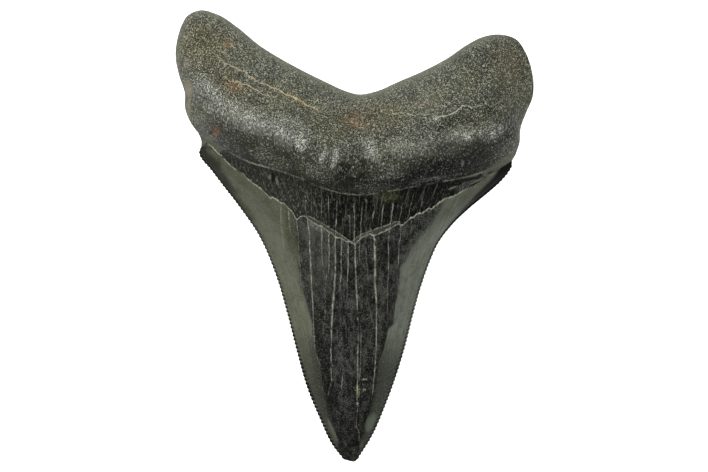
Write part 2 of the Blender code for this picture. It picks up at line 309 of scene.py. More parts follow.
# The enamel's edge, chip by chip, and a second edge just above the middle of it.
CHIPPED_ENAMEL = [
    (-26.70, 15.71), (-25.96, 16.02), (-24.91, 15.88), (-24.47, 15.18), (-23.69, 14.39), (-23.16, 14.13),
    (-22.64, 13.50), (-21.94, 12.73), (-21.01, 11.89), (-20.19, 11.42), (-19.19, 10.89), (-18.58, 10.04),
    (-17.33, 9.06), (-15.99, 8.13), (-15.50, 7.57), (-14.88, 7.08), (-14.64, 6.66), (-14.03, 6.78),
    (-13.29, 6.22), (-12.68, 5.80), (-12.31, 5.85), (-11.58, 5.07), (-10.82, 4.38), (-10.30, 3.37),
    (-9.88, 2.93), (-9.37, 3.51), (-8.65, 3.60), (-8.20, 3.28), (-7.59, 2.67), (-6.76, 2.23), (-6.19, 1.88),
    (-5.45, 1.64), (-4.96, 1.18), (-4.44, 0.76), (-3.74, 0.48), (-3.42, -0.11), (-3.04, -0.27),
    (-2.55, -0.13), (-1.99, -0.48), (-1.37, -0.92), (-0.94, -0.83), (-0.41, -1.09), (-0.06, -1.36),
    (0.38, -1.01), (1.08, -0.25), (1.86, 0.13), (2.67, 0.48), (3.26, 0.08), (4.14, 0.48), (5.14, 0.90),
    (6.15, 1.41), (6.94, 1.88), (7.60, 2.28), (8.04, 1.85), (8.60, 2.23), (9.04, 2.65), (9.77, 3.32),
    (10.14, 3.23), (10.72, 3.95), (11.70, 4.05), (12.19, 4.42), (12.87, 4.96), (13.31, 4.75), (14.04, 5.40),
    (15.02, 6.13), (15.64, 6.57), (16.62, 6.82), (17.60, 7.24), (19.54, 8.41), (20.76, 9.14),
    (23.00, 10.37), (24.23, 11.23), (26.68, 12.70), (27.31, 13.19),
]
SECOND_LINE = [(-8.29, 3.54), (-7.78, 3.51), (-6.71, 2.90), (-5.49, 2.23), (-3.74, 1.18), (-2.51, 0.39),
               (-1.39, -0.39), (-0.41, -0.92), (0.06, -0.39), (1.34, 0.48), (3.26, 1.18), (5.19, 1.79),
               (7.29, 2.65), (7.99, 2.41)]
ENDED = -99  # y that stands for no second line here

# The bevels beside the crown's flat middle: the lines where they start, left and right.
LEFT_BEVEL = [(-10.2, 9.0), (-10.1, 3.3), (-9.9, -0.7), (-9.7, -4.6), (-9.5, -7.5), (-8.9, -10.0),
              (-8.0, -12.5), (-7.4, -14.5), (-7.1, -17.5), (-6.7, -19.6), (-5.9, -22.4), (-5.5, -25.8),
              (-5.1, -28.5), (-4.6, -31.2), (-3.5, -34.5), (-2.8, -36.6)]
RIGHT_BEVEL = [(15.2, 6.6), (14.6, 4.6), (13.4, 2.6), (12.0, 1.0), (10.6, -1.0), (9.0, -3.5), (7.9, -5.4),
               (7.7, -7.7), (7.5, -9.7), (6.9, -12.1), (6.8, -15.2), (5.8, -16.1), (5.2, -19.1),
               (4.2, -21.7), (3.9, -25.1), (3.3, -28.5), (2.8, -30.5), (2.1, -31.8), (1.8, -34.1),
               (0.9, -35.7)]

# Cracks in the crown and in the band above it, from left to right: x, y and how strong the crack is there.
CROWN_CRACKS = [
    [(-12.7, 5.2, 0.6), (-12.6, 1.0, 0.5), (-12.3, -2.5, 0.3)],
    [(-11.4, 4.6, 0.7), (-11.0, 0.4, 0.6)],
    [(-10.0, 2.8, 0.7), (-9.7, -0.7, 0.6), (-9.3, -8.6, 0.3)],
    [(-8.5, 6.8, 0.3), (-8.5, 4.9, 0.4), (-8.4, 4.2, 0), (-8.1, 2.8, 0.9), (-7.8, 0.5, 0.7),
     (-7.65, -3.0, 1.1), (-7.5, -6.3, 1.1), (-7.3, -11.0, 0.8), (-7.0, -18.2, 0.7), (-6.9, -20.0, 0),
     (-6.6, -20.9, 0.5), (-5.9, -22.4, 0.3)],
    [(-7.5, 8.0, 0.3), (-7.4, 5.4, 0.4), (-7.4, 3.8, 0.1)],
    [(-5.7, 7.0, 0.3), (-5.7, 4.5, 0.4), (-5.8, 2.4, 0), (-5.7, 1.5, 0.6), (-5.7, -1.6, 0.7),
     (-5.5, -5.1, 0.4)],
    [(-4.5, 7.0, 0.6), (-4.5, 4.9, 0.5), (-4.4, 3.6, 0), (-4.3, 1.0, 0), (-4.45, 0.3, 0.9),
     (-4.35, -2.5, 0.7), (-4.45, -6.2, 0.6), (-4.75, -6.5, 0.3), (-4.9, -6.9, 0.6), (-5.1, -13.0, 0.5),
     (-5.2, -15.0, 0.2)],
    [(-3.0, 5.6, 0.3), (-3.1, 3.6, 0.7), (-3.2, 2.1, 0.6), (-3.3, 1.0, 0), (-3.3, -0.4, 0.9),
     (-3.3, -3.9, 0.9), (-3.35, -6.0, 1), (-3.5, -8.6, 1.3), (-3.85, -13.0, 1.1), (-4.1, -20.0, 0.9),
     (-4.0, -25.2, 0.8), (-4.6, -27.7, 0.5)],
    [(-1.5, 4.9, 0.5), (-1.5, 3.5, 0.4), (-2.0, 1.0, 0), (-2.2, -0.7, 0.8), (-2.3, -5.1, 0.6),
     (-2.5, -8.6, 0.5), (-2.4, -11.2, 0), (-2.0, -21.7, 0), (-2.0, -23.5, 0.6), (-2.3, -26.6, 0.5),
     (-2.8, -28.0, 0.3)],
    [(-0.8, 3.5, 0.3), (-0.9, 1.0, 0.3), (-1.0, -0.4, 0), (-1.1, -1.3, 0.8), (-1.1, -4.6, 0.8),
     (-1.3, -7.7, 0.6), (-1.3, -10.4, 0.4)],
    [(0.2, 6.6, 0.5), (0.0, 5.4, 0.6), (0.0, 1.9, 0.8), (-0.1, -0.4, 0.5), (0.1, -1.4, 1), (0.2, -6.0, 0.9),
     (0.35, -9.5, 1.2), (0.55, -13.0, 0.9), (0.5, -22.0, 1.1), (0.5, -28.0, 1.2), (0.5, -30.5, 0.7),
     (0.3, -33.1, 0.6), (0.75, -33.8, 0.5), (0.75, -35.5, 0.3)],
    [(1.1, -16.5, 0.3), (1.15, -18.5, 0.6), (1.05, -22.7, 0.7), (0.8, -25.0, 0.6)],
    [(1.3, 5.4, 0.3), (1.2, 3.6, 0.4), (1.1, 0.8, 0.6), (0.9, -0.4, 0.5), (0.9, -4.6, 0.3)],
    [(2.1, 6.6, 0.7), (2.0, 4.9, 0.4), (2.0, 2.4, 0.2), (2.0, 0.0, 0.5), (2.1, -4.6, 0.4),
     (2.3, -7.7, 0.3)],
    [(3.5, 5.7, 0.4), (3.3, 4.2, 0.9), (3.0, 2.4, 0.7), (2.7, 1.4, 0.2), (3.3, 0.1, 0.6), (3.5, -0.7, 1.2),
     (3.55, -4.6, 1.3), (3.5, -7.7, 1.4), (3.8, -11.2, 1.1), (3.8, -15.6, 0.9), (3.6, -21.7, 0.8),
     (3.3, -25.2, 0.6), (3.1, -27.9, 0.5)],
    [(5.0, 5.7, 0.7), (4.8, 4.2, 0.8), (4.6, 2.1, 0.6), (4.6, 1.2, 0.1), (4.7, -0.7, 0), (4.8, -7.7, 0),
     (4.8, -18.2, 0), (4.3, -27.9, 0)],
    [(6.7, 5.9, 0.8), (6.5, 4.2, 0.8), (6.2, 2.6, 0.5), (6.1, 1.7, 0.2), (6.0, 1.0, 0.7), (5.9, -4.2, 0.7),
     (5.7, -9.5, 0.5), (5.7, -13.0, 0.4)],
    [(8.2, 5.4, 0.5), (8.0, 4.0, 0.6), (7.7, 2.8, 0.2), (8.0, 1.5, 0.5), (7.8, -0.7, 0.6), (7.6, -3.4, 0.7),
     (7.6, -5.6, 0.4)],
    [(10.1, 7.1, 0.3), (9.7, 5.4, 0.5), (9.4, 4.2, 0.3), (9.8, 2.8, 0.3), (9.7, -1.6, 0.3),
     (9.4, -8.6, 0.2)],
    [(12.0, 8.0, 0.3), (11.5, 5.4, 0.5), (11.1, 3.8, 0.3), (11.0, 2.4, 0.3), (10.6, -6.0, 0.2)],
]

# Cracks in the root, from the highest to the lowest.
ROOT_CRACKS = [
    [(-23.7, 31.1, 0.4), (-22.5, 29.9, 0.7), (-20.5, 29.0, 0.7), (-18.3, 27.8, 0.7), (-16.2, 26.4, 0.7),
     (-14.8, 26.0, 0.8), (-13.5, 25.2, 0.8), (-12.0, 24.8, 0.9), (-10.4, 23.8, 1), (-8.6, 22.9, 0.9),
     (-6.4, 21.7, 0.6), (-5.4, 21.3, 0), (10.0, 26.0, 0), (30.0, 30.0, 0)],
    [(-22.5, 27.4, 0.4), (-20.7, 26.7, 0.6), (-18.8, 26.2, 0.7), (-16.5, 24.8, 0.7), (-14.8, 24.3, 0.6),
     (-13.4, 22.5, 0.3), (-12.0, 21.8, 0), (-4.0, 20.5, 0), (6.0, 23.5, 0), (15.0, 23.5, 0),
     (23.0, 25.5, 0)],
    [(-24.0, 20.0, 0), (-13.0, 18.0, 0), (-5.0, 18.0, 0), (5.0, 21.0, 0), (6.7, 21.2, 0.4),
     (8.7, 21.3, 0.4), (9.0, 21.0, 0), (9.3, 20.8, 0.5), (12.5, 21.2, 0.5), (13.2, 20.8, 0),
     (13.7, 20.3, 0.6), (15.7, 20.8, 0.8), (17.5, 21.6, 0.8), (18.5, 22.3, 0.7), (20.0, 22.2, 0.6),
     (21.4, 22.6, 0.5), (22.8, 23.1, 0.3), (23.4, 23.4, 0)],
    [(20.0, 17.9, 0.3), (21.6, 19.1, 0.3), (23.2, 20.1, 0.3)],
]


def bevel_line(points, y):
    """x of a line that runs down the tooth, at these y."""
    across, down = np.transpose(points[::-1])
    return np.interp(y, down, across)


FAR = 9.0  # the distance that stands for no crack nearby


def crack_marks(across, along_it, cracks):
    """How far each place is from the nearest crack, with a sign that changes from one crack to the next, and
    how strong the crack is there."""
    nearest = np.full(len(across), FAR)
    side = np.ones(len(across))
    strength = np.zeros(len(across))
    for crack in cracks:
        place, where, strong = np.transpose(sorted(crack, key=lambda point: point[1]))
        offset = across - np.interp(along_it, where, place)
        closer = np.abs(offset) < nearest
        here = np.interp(along_it, where, strong, left=0, right=0)
        strength = np.where(closer, here, strength)
        nearest = np.where(closer, np.abs(offset), nearest)
        side = side * np.where(offset < 0, -1, 1)
    return nearest * side, strength


def span(y):
    """x of the left outline of the crown and the crown's width, at these y."""
    left = bevel_line(LEFT_RUNS[2], y)
    return left, bevel_line(RIGHT_RUNS[2], y) - left


def share_of_span(crack):
    """A crack of the crown with its x as a share of the crown's width."""
    return [((x - span(y)[0]) / span(y)[1], y, strength) for x, y, strength in crack]


def all_marks(places, v):
    """The cracks' marks on the whole face, and how far a place is inside the crown's flat middle."""
    x, y = np.transpose(places)
    left, width = span(y)
    crown = crack_marks((x - left) / width, y, [share_of_span(crack) for crack in CROWN_CRACKS])
    level = [[(py, px, strength) for px, py, strength in crack] for crack in ROOT_CRACKS]
    root = crack_marks(y, x, level)
    offset = np.where(v < ROOT_EDGE, root[0], crown[0] * width)
    strength = np.where(v < ROOT_EDGE, root[1], crown[1])
    middle = np.minimum(x - bevel_line(LEFT_BEVEL, y), bevel_line(RIGHT_BEVEL, y) - x)
    return offset, strength, middle


def row_places():
    """v of each row: close together at the root's edges and at the enamel, even down the crown."""
    root = (1 - np.cos(np.pi * np.arange(ROOT_ROWS) / ROOT_ROWS)) / 2
    band = ROOT_EDGE + (1 - np.cos(np.pi * np.arange(BAND_ROWS) / BAND_ROWS)) / 2
    crown = ENAMEL_EDGE + np.arange(2 * SERRATIONS + 1) / (2 * SERRATIONS)
    return np.concatenate([root, band, crown])


def add_face(mesh, lines, heights, face):
    """One face of the tooth. Each vertex keeps its u, v and face, and its distance from the lines."""
    place = mesh.verts.layers.float_vector["place"]
    from_lines = mesh.verts.layers.float_vector["lines"]
    marks = mesh.verts.layers.float_vector["marks"]
    second = mesh.verts.layers.float["second"]
    rows = row_places()
    grid = bmesh.ops.create_grid(mesh, x_segments=COLUMNS, y_segments=len(rows) - 1, size=1)["verts"]
    even = np.tile(np.linspace(-1, 1, COLUMNS + 1), len(rows))
    v = np.repeat(rows, COLUMNS + 1)
    crowded = np.sin(even * np.pi / 2)
    u = crowded + (even - crowded) * eased(v - ROOT_EDGE)
    u[np.abs(even) == 1] = even[np.abs(even) == 1]
    places = face_places(lines, u, v)
    enamel = line_height(lines[2], places[:, 0])
    if face == 1:
        chipped = np.interp(places[:, 0], *np.transpose(CHIPPED_ENAMEL)) - enamel
        fade = np.where(v > ENAMEL_EDGE, CHIP_FADE_BELOW, CHIP_FADE_ABOVE)
        near = eased(1 - np.abs(v - ENAMEL_EDGE) * fade) * (1 - u**8)
        places[:, 1] += chipped * near
        enamel = enamel + chipped
    distance, outwards = to_outline(places, u, v)
    z = heights(places, distance, u, v)
    wave = np.cos((v - ENAMEL_EDGE) * SERRATIONS * 2 * np.pi) * (v > SERRATED[0]) * (v < SERRATED[1])
    strip = wave * eased(1 - distance / BEAD_STRIP)
    places -= outwards * (SERRATION_REACH * strip)[:, None]
    z -= face * BEAD_HEIGHT * strip * (distance > 0)
    root_edge = line_height(lines[1], places[:, 0])
    offset, strength, middle = all_marks(places, v)
    second_line = np.interp(places[:, 0], *np.transpose(SECOND_LINE), left=ENDED, right=ENDED)
    for number, vert in enumerate(grid):
        x, y = places[number]
        vert.co = (x, y, z[number])
        vert[place] = (u[number], v[number], face)
        vert[from_lines] = (enamel[number] - y, root_edge[number] - y, distance[number])
        vert[marks] = (offset[number], strength[number], middle[number])
        vert[second] = second_line[number] - y


mesh = bmesh.new()
mesh.verts.layers.float_vector.new("place")
mesh.verts.layers.float_vector.new("lines")
mesh.verts.layers.float_vector.new("marks")
mesh.verts.layers.float.new("second")
add_face(mesh, [ROOT_TOP, LINGUAL_ROOT_EDGE, LINGUAL_ENAMEL, TIP], lingual_heights, 1)
add_face(mesh, [ROOT_TOP, LABIAL_ROOT_EDGE, LABIAL_ENAMEL, TIP], labial_heights, -1)
bmesh.ops.remove_doubles(mesh, verts=mesh.verts, dist=WELD)
# At each corner of the grids, the squares of the two faces share three vertices. They are cut from the corner
# inwards, so that no triangle lies on both.
for corner in [vert for vert in mesh.verts if len(vert.link_faces) == 2]:
    for quad in list(corner.link_faces):
        opposite = quad.verts[(list(quad.verts).index(corner) + 2) % 4]
        bmesh.utils.face_split(quad, corner, opposite)
bmesh.ops.recalc_face_normals(mesh, faces=mesh.faces)
bmesh.ops.scale(mesh, vec=(MM, MM, MM), verts=mesh.verts)
tooth_data = bpy.data.meshes.new("fossil_tooth")
mesh.to_mesh(tooth_data)
mesh.free()
tooth_data.shade_smooth()
tooth_data.set_sharp_from_angle(angle=np.radians(SHARP_DEGREES))
tooth = bpy.data.objects.new("fossil_tooth", tooth_data)
bpy.context.scene.collection.objects.link(tooth)
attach(tooth, "root")
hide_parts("tooth")


# The finish of the fossil. The root is grained like fine stone, grey-green with tan and rust stains. The band
# is nearly black and finely striped. The enamel is dark and polished, with pale cracks that run down it.
def colour(red, green, blue):
    """A colour from its 8-bit sRGB values."""
    return tuple((value / 255 / 12.92 if value < 11 else ((value / 255 + 0.055) / 1.055) ** 2.4)
                 for value in (red, green, blue)) + (1.0,)


def feed(item, socket):
    """Puts a number, a colour or another node's output into a socket."""
    if isinstance(item, Field):
        socket.id_data.links.new(item.socket, socket)
    else:
        socket.default_value = item


class Field:
    """A value that changes over the surface, for use in plain arithmetic."""

    def __init__(self, socket):
        self.socket = socket

    def maths(self, operation, *items):
        node = self.socket.id_data.nodes.new("ShaderNodeMath")
        node.operation = operation
        for item, socket in zip(items, node.inputs):
            feed(item, socket)
        return Field(node.outputs[0])

    def __add__(self, other):
        return self.maths("ADD", self, other)

    def __sub__(self, other):
        return self.maths("SUBTRACT", self, other)

    def __rsub__(self, other):
        return self.maths("SUBTRACT", other, self)

    def __mul__(self, other):
        return self.maths("MULTIPLY", self, other)

    def __abs__(self):
        return self.maths("ABSOLUTE", self)

    def most(self, other):
        return self.maths("MAXIMUM", self, other)

    def least(self, other):
        return self.maths("MINIMUM", self, other)


class Finish:
    """A material that is put together from nodes."""

    def __init__(self, name):
        self.material = bpy.data.materials.new(name)
        self.material.use_nodes = True
        self.nodes = self.material.node_tree.nodes
        self.surface = self.nodes["Principled BSDF"]

    def node(self, kind, settings, sockets, output=0):
        """A node of any kind: its settings first, then its sockets. Returns one of its outputs."""
        node = self.nodes.new("ShaderNode" + kind)
        for name, value in settings.items():
            setattr(node, name, value)
        for name, item in sockets.items():
            feed(item, node.inputs[name])
        return Field(node.outputs[output])

    def parts(self, vector):
        """The three numbers of a vector."""
        x = self.node("SeparateXYZ", {}, {0: vector})
        return x, Field(x.socket.node.outputs[1]), Field(x.socket.node.outputs[2])

    def kept(self, name):
        """The three numbers that the mesh keeps under this name."""
        return self.parts(self.node("Attribute", {"attribute_name": name}, {}, "Vector"))

    def vector(self, x, y, z):
        return self.node("CombineXYZ", {}, {0: x, 1: y, 2: z})

    def grain(self, vector, size, detail=2.0, roughness=0.5):
        """Noise from 0 to 1 with grains of about this size, in the vector's own units."""
        sockets = {"Vector": vector, "Scale": 1 / size, "Detail": detail, "Roughness": roughness}
        return self.node("TexNoise", {}, sockets, "Fac")

    def rise(self, value, low, high):
        """0 below low, 1 above high and smooth between. It falls instead where high is the smaller."""
        sockets = {"Value": value, "From Min": low, "From Max": high}
        return self.node("MapRange", {"interpolation_type": "SMOOTHSTEP"}, sockets)

    def slide(self, value, low, high, amount):
        """0 below low, the amount above high and even between."""
        sockets = {"Value": value, "From Min": low, "From Max": high, "To Max": amount}
        return self.node("MapRange", {}, sockets)

    def blend(self, factor, under, over):
        """One colour over another."""
        return self.node("Mix", {"data_type": "RGBA"}, {0: factor, 6: under, 7: over}, 2)

    def coats(self, under, *layers):
        """A colour with others laid over it in turn. A layer is how strongly it covers and its colour, which
        is either three 8-bit values or a colour that changes over the surface."""
        for cover, over in layers:
            under = self.blend(cover, under, over if isinstance(over, Field) else colour(*over))
        return under

    def set(self, sockets):
        """Feeds the inputs of the surface itself."""
        for name, item in sockets.items():
            feed(item, self.surface.inputs[name])


fossil = Finish("fossil")
position = fossil.node("TexCoord", {}, {}, "Object")
position = fossil.node("VectorMath", {"operation": "SCALE"}, {"Vector": position, "Scale": 1 / MM})
x, y, z = fossil.parts(position)
_, v, face = fossil.kept("place")
upper = fossil.rise(face, -0.5, 0.5)
below_enamel, below_root, from_edge = fossil.kept("lines")
crack_offset, crack_strength, middle = fossil.kept("marks")
below_second = fossil.node("Attribute", {"attribute_name": "second"}, {}, "Fac")
from_middle = abs(x + 0.4)
SOOT = (3, 3, 2)


def blot(at_x, at_y, half_width, half_height=None, turn=0, strength=None):
    """A patch of the skin: 1, or its strength, at the centre and 0 at its edge. The turn is in degrees."""
    c = np.cos(np.radians(turn))
    s = np.sin(np.radians(turn))
    dx = x - at_x
    dy = y - at_y
    along_it = (dx * c + dy * s) * (1 / half_width)
    across_it = (dy * c - dx * s) * (1 / (half_height or half_width))
    here = fossil.rise(along_it * along_it + across_it * across_it, 1.0, 0.0)
    return here if strength is None else here * strength


def blots(*rows):
    """The strongest of several patches at each place."""
    strongest = blot(*rows[0])
    for row in rows[1:]:
        strongest = strongest.most(blot(*row))
    return strongest


# The grains of the skin, from fine to broad, and the stripes that fan out down the crown. Towards the crown
# the root's grain is drawn out along the tooth.
fine = fossil.grain(position, 0.19, 1.0, 0.5)
coarse = fossil.grain(position, 1.7, 3.0, 0.55)
cloud = fossil.grain(position, 6.0, 3.0, 0.5)
speck = fossil.grain(position, 0.45, 1.0)
patchy = fossil.grain(position, 3.2, 2.0, 0.6)
spots = fossil.grain(position, 0.42, 2.0, 0.7)
streaky = fossil.grain(fossil.vector(x, y * 0.36, z), 0.2, 1.0, 0.5)
lower_root = fossil.rise(below_root, -10.0, -4.0)
grit = fine + (streaky - fine) * lower_root * 0.7
calm = 1 - fossil.rise(patchy, 0.42, 0.34) * (lower_root * 0.2 + 0.5)
fanned = x * y.maths("EXPONENT", y * -0.028)
stripes = fossil.grain(fossil.vector(fanned * 3.2, y * 0.22, 0.0), 1.0, 2.0, 0.6)

# The root's stains and darker patches, the dark towards the crown, part stain and part painted shade under
# the bulge and lifted in places, and the painted shade in the hollows.
tan = blots((-26.0, 33.0, 6.0, 5.0), (-21.1, 26.0, 5.0, 2.5, -30), (26.5, 30.0, 4.0), (2.5, 20.5, 8.0, 4.0))
rust = blots((-20.9, 26.0, 2.0, 1.1, -20), (0.8, 19.9, 3.2, 1.8), (-24.2, 18.5, 1.5),
             (11.5, 22.9, 1.2, 0.8, 0, 0.6), (-21.6, 33.2, 1.0), (-10.0, 23.6, 2.6, 0.7, -30))
rust = rust * fossil.rise(coarse, 0.32, 0.56)
# Places where the painted shade towards the crown is lifted.
shade_breaks = blots((-6.9, 11.4, 4.4, 2.2, -22), (-14.4, 13.4, 5.0, 2.0, -24), (6.0, 11.2, 4.6, 2.0, 12),
              (-9.2, 13.8, 2.4, 1.6, 0, 0.8), (-4.3, 11.6, 2.0, 2.0, 0, 0.9), (13.1, 14.6, 2.4, 1.5, 10),
              (3.4, 8.4, 5.4, 1.2, 4, 0.6), (16.2, 14.5, 3.2, 1.5, 16, 0.7))
stain_and_shade_toward_crown = below_root + (coarse - 0.5) * 3.0 + fossil.slide(x, 6.0, 18.0, 1.2)
stain_and_shade_toward_crown = fossil.rise(stain_and_shade_toward_crown, -7.0, -2.0) * fossil.rise(abs(x - 1.5), 29.0, 19.0)
stain_and_shade_toward_crown = stain_and_shade_toward_crown * (1 - shade_breaks * upper * 0.75)
# Painted shade in the hollows.
hollow_shade = blots((-11.2, 13.2, 4.0, 1.5, -28, 0.3), (-0.6, 11.8, 4.0, 2.6), (14.5, 11.9, 6.0, 2.2, 14),
               (-23.6, 18.2, 2.0, 1.0, -38, 0.5))
hollow_shade = hollow_shade * upper * fossil.rise(coarse, 0.3, 0.6)
shade = stain_and_shade_toward_crown.most(hollow_shade)
pools = blots((19.0, 19.9, 4.8, 1.9, 6), (25.6, 20.4, 2.6, 3.0), (23.6, 22.8, 3.4, 1.9),
              (10.4, 17.2, 2.8, 1.4), (20.0, 22.0, 3.0, 1.6), (15.8, 18.9, 3.0, 1.8),
              (-7.6, 25.2, 2.8, 2.0, 0, 0.8), (26.7, 18.4, 2.4, 2.6), (-10.9, 18.3, 2.0, 1.8),
              (-24.6, 18.9, 2.2, 1.6, 0, 0.7), (23.4, 21.8, 1.8, 1.6))
dim = blots((0.5, 19.6, 9.0, 6.0), (24.5, 28.0, 9.0, 10.0)).most(pools * 1.8)

# The crest and its brightest glints: painted highlights in the colour, and real polish in the coat. The rim
# and the lip are worn smooth.
crest_highlight_and_polish = blots((-25.0, 24.4, 6.0, 2.8, -45), (-18.6, 20.6, 6.5, 3.2, -25), (-11.6, 18.0, 5.5, 3.4, -25),
              (9.5, 15.6, 6.5, 2.6, 12), (18.2, 17.6, 4.4, 2.3, 8), (23.6, 18.2, 3.4, 2.4, 25),
              (-5.4, 13.7, 0.6, 2.4, -15), (-3.4, 13.4, 0.8, 2.6, -12), (2.9, 14.6, 1.8, 3.4, 25))
crest_highlight_and_polish = crest_highlight_and_polish * upper * (fossil.rise(x, 5.0, -5.0) * 0.3 + 0.88)
glints = blots((19.4, 17.3, 1.3, 1.0), (21.5, 17.8, 0.7), (22.8, 18.1, 0.5), (23.8, 17.8, 0.7, 1.1),
               (25.2, 18.5, 0.7, 1.1), (17.4, 17.5, 0.7), (-9.2, 16.0, 1.3, 1.9), (14.2, 20.0, 0.6, 1.2, 30),
               (-5.6, 13.7, 0.5, 1.3, -22), (-3.4, 13.1, 0.6, 1.5, -20), (2.9, 15.2, 1.1, 2.0, 20, 0.6),
               (-12.6, 18.6, 3.4, 1.6, -28, 0.15))
glints = glints * upper * fossil.slide(fine + (speck - 0.5) * 0.7, 0.46, 0.64, 1.0)
worn = fossil.rise(from_edge, 1.5, 0.3) * (fossil.rise(v, 0.5, 0.1) * 0.7 + 0.3) * fossil.rise(z, 5.0, 8.5)
worn = worn * (fossil.slide(patchy, 0.38, 0.6, 0.4) + 0.6)
lip = fossil.rise(below_enamel, -1.7, -0.9) * fossil.rise(from_middle, 16.0, 23.0)
smooth = worn.most(lip)
grained = 1 - smooth * 0.7
strip = blots((-28.7, 25.6, 0.9, 2.0, 8), (-28.7, 22.2, 0.6, 2.4, 0, 0.7)) * upper
# A painted highlight by the tip of the left lobe.
pink_highlight = blot(-29.0, 29.7, 0.8, 1.5) * upper * fossil.rise(fine, 0.34, 0.58)
orange = blot(-23.9, 18.0, 0.9) * upper * fossil.rise(fine, 0.40, 0.66)

# The pits and the grains themselves, and the root's colour, laid on in coats.
pits = fossil.slide(grit + (speck - 0.5) * 0.4, 0.52, 0.32, 1.0)
pits = pits * (fossil.slide(patchy, 0.36, 0.6, 0.5) + 0.5) * calm
grains = fossil.slide(grit - (speck - 0.5) * 0.4 - shade * 0.05, 0.50, 0.72, 1.0)
grains = grains * (fossil.slide(patchy, 0.64, 0.4, 0.5) + 0.7) * calm
# Along the crest the grains are brightened: painted highlight.
grains = (grains + crest_highlight_and_polish * fossil.slide(grit, 0.38, 0.62, 0.28)).least(1.0)
sparse = fossil.rise(speck, 0.56, 0.70) * fossil.slide(grit, 0.42, 0.62, 0.8)
grain_depth = grained * (0.85 - dim * 0.12 - shade * 0.45 + shade * sparse * 1.2)
root_colour = fossil.coats(
    fossil.blend(fossil.rise(cloud, 0.38, 0.62), colour(64, 66, 60), colour(75, 76, 60)),
    (tan * 0.6, (88, 80, 54)),
    (rust * 0.55, (134, 94, 58)),
    # Painted shade towards the crown and in the hollows.
    (stain_and_shade_toward_crown * (fossil.rise(x, -16.0, 6.0) * 0.25 + 0.68), (12, 13, 11)),
    (hollow_shade * 0.7, (8, 9, 7)),
    # The painted highlight of the crest.
    (crest_highlight_and_polish * 0.3, (104, 107, 104)),
    (dim * 0.3, (10, 10, 8)),
    (smooth * 0.8, (92, 94, 79)),
    (pits * grained * 0.9, (18, 18, 14)),
    (grains * grain_depth, fossil.blend(lower_root, colour(187, 188, 166), colour(184, 188, 178))),
    # Painted glints.
    (glints * 0.9, (212, 214, 200)),
    (strip * 0.8, (128, 122, 101)),
    # The painted highlight by the tip of the left lobe.
    (pink_highlight * 0.7, (160, 152, 142)),
    (orange * 0.6, (150, 112, 72)),
    (fossil.rise(stripes, 0.52, 0.75) * stain_and_shade_toward_crown * 0.25, (110, 112, 104)),
)

# The band: nearly black, with fine stripes that run down it.
moss = blot(5.9, 6.9, 2.4, 1.4, 10) * fossil.rise(fine, 0.40, 0.62)
flecks = fossil.slide(streaky, 0.54, 0.76, 1.0) * (fossil.rise(x, 2.0, -10.0) * 0.3 + 0.22)
band_colour = fossil.coats(
    fossil.blend(fossil.rise(coarse, 0.35, 0.65), colour(4, 4, 3), colour(12, 12, 10)),
    (fossil.rise(x, -3.0, -10.0) * 0.75, (40, 40, 35)),
    (fossil.rise(stripes, 0.54, 0.72) * 0.6, (92, 93, 82)),
    (moss * 0.4, (112, 118, 84)),
    (flecks, (132, 133, 120)),
)

# The crown's middle: mottled black, darkest beside the bevels and towards the tip, with a faint painted sheen
# on its left.
mottle = fossil.grain(fossil.vector(x, y * 0.5, z), 1.0, 5.0, 0.75)
reach_in = fossil.slide(x, 1.0, -1.0, 0.9) * fossil.rise(y, -34.0, -26.0) + 0.6
border = fossil.rise(middle, -0.4, 0.1) * fossil.rise(middle - reach_in + (coarse - 0.5) * 2.0, 0.7, -0.4)
border = border * fossil.rise(y - fossil.slide(x, -4.0, 4.0, 2.0), -8.0, -16.0)
soot = blots((6.2, -2.6, 2.2, 2.8), (-4.3, -27.2, 1.7, 3.0), (-0.9, -6.0, 1.5, 2.4), (-4.2, -19.8, 1.6, 2.4))
painted_sheen = blots((-6.2, -4.0, 3.6, 9.0, 0, 0.22), (-7.8, 0.6, 2.4, 2.2, 0, 0.4))
middle_colour = fossil.coats(
    fossil.blend(fossil.rise(mottle, 0.42, 0.64), colour(*SOOT), colour(68, 69, 66)),
    (fossil.slide(fine, 0.5, 0.3, 0.8), SOOT),
    (fossil.rise(stripes, 0.5, 0.75) * 0.35, (70, 70, 64)),
    (border * 0.8, SOOT),
    (fossil.slide(fine, 0.56, 0.8, 0.8), (116, 116, 104)),
    (fossil.rise(y, -18.0, -34.0) * 0.25, (10, 10, 8)),
    (soot * 0.4, SOOT),
    (painted_sheen, (88, 91, 82)),
)

# The bevels: a painted reflection of the light tent, grey and finely striped, and darker at the shoulders,
# beside the middle and towards the tip.
softness = fossil.slide(y, -14.0, 4.0, 0.7) + 0.25
inside = middle + (stripes - 0.5) * fossil.slide(y, -18.0, 2.0, 4.0)
bevel = 1 - fossil.rise(inside.maths("DIVIDE", inside, softness), -1.0, 0.6)
dusk = fossil.rise(y, -15.0, -24.0) * fossil.rise(x, 0.0, 3.0)
left_dusk = fossil.rise(y, -15.0, -19.0) * fossil.rise(y, -31.0, -27.0) * fossil.rise(x, 0.0, -3.0) * 0.45
streaked = fossil.rise(stripes, 0.44, 0.62) * fossil.rise(x, -6.0, -11.0) * fossil.rise(y, -8.0, 2.0)
inner = fossil.rise(middle, -2.4, -1.4) * fossil.rise(x, 0.0, -4.0) * fossil.rise(y, -7.0, 0.0)
inner_low = fossil.rise(middle, -2.2, -0.3) * fossil.rise(y, -16.0, -21.0) * fossil.rise(y, -34.0, -31.0)
inner_low = inner_low * (fossil.rise(x, 0.0, -3.0) * 0.45 + 0.2)
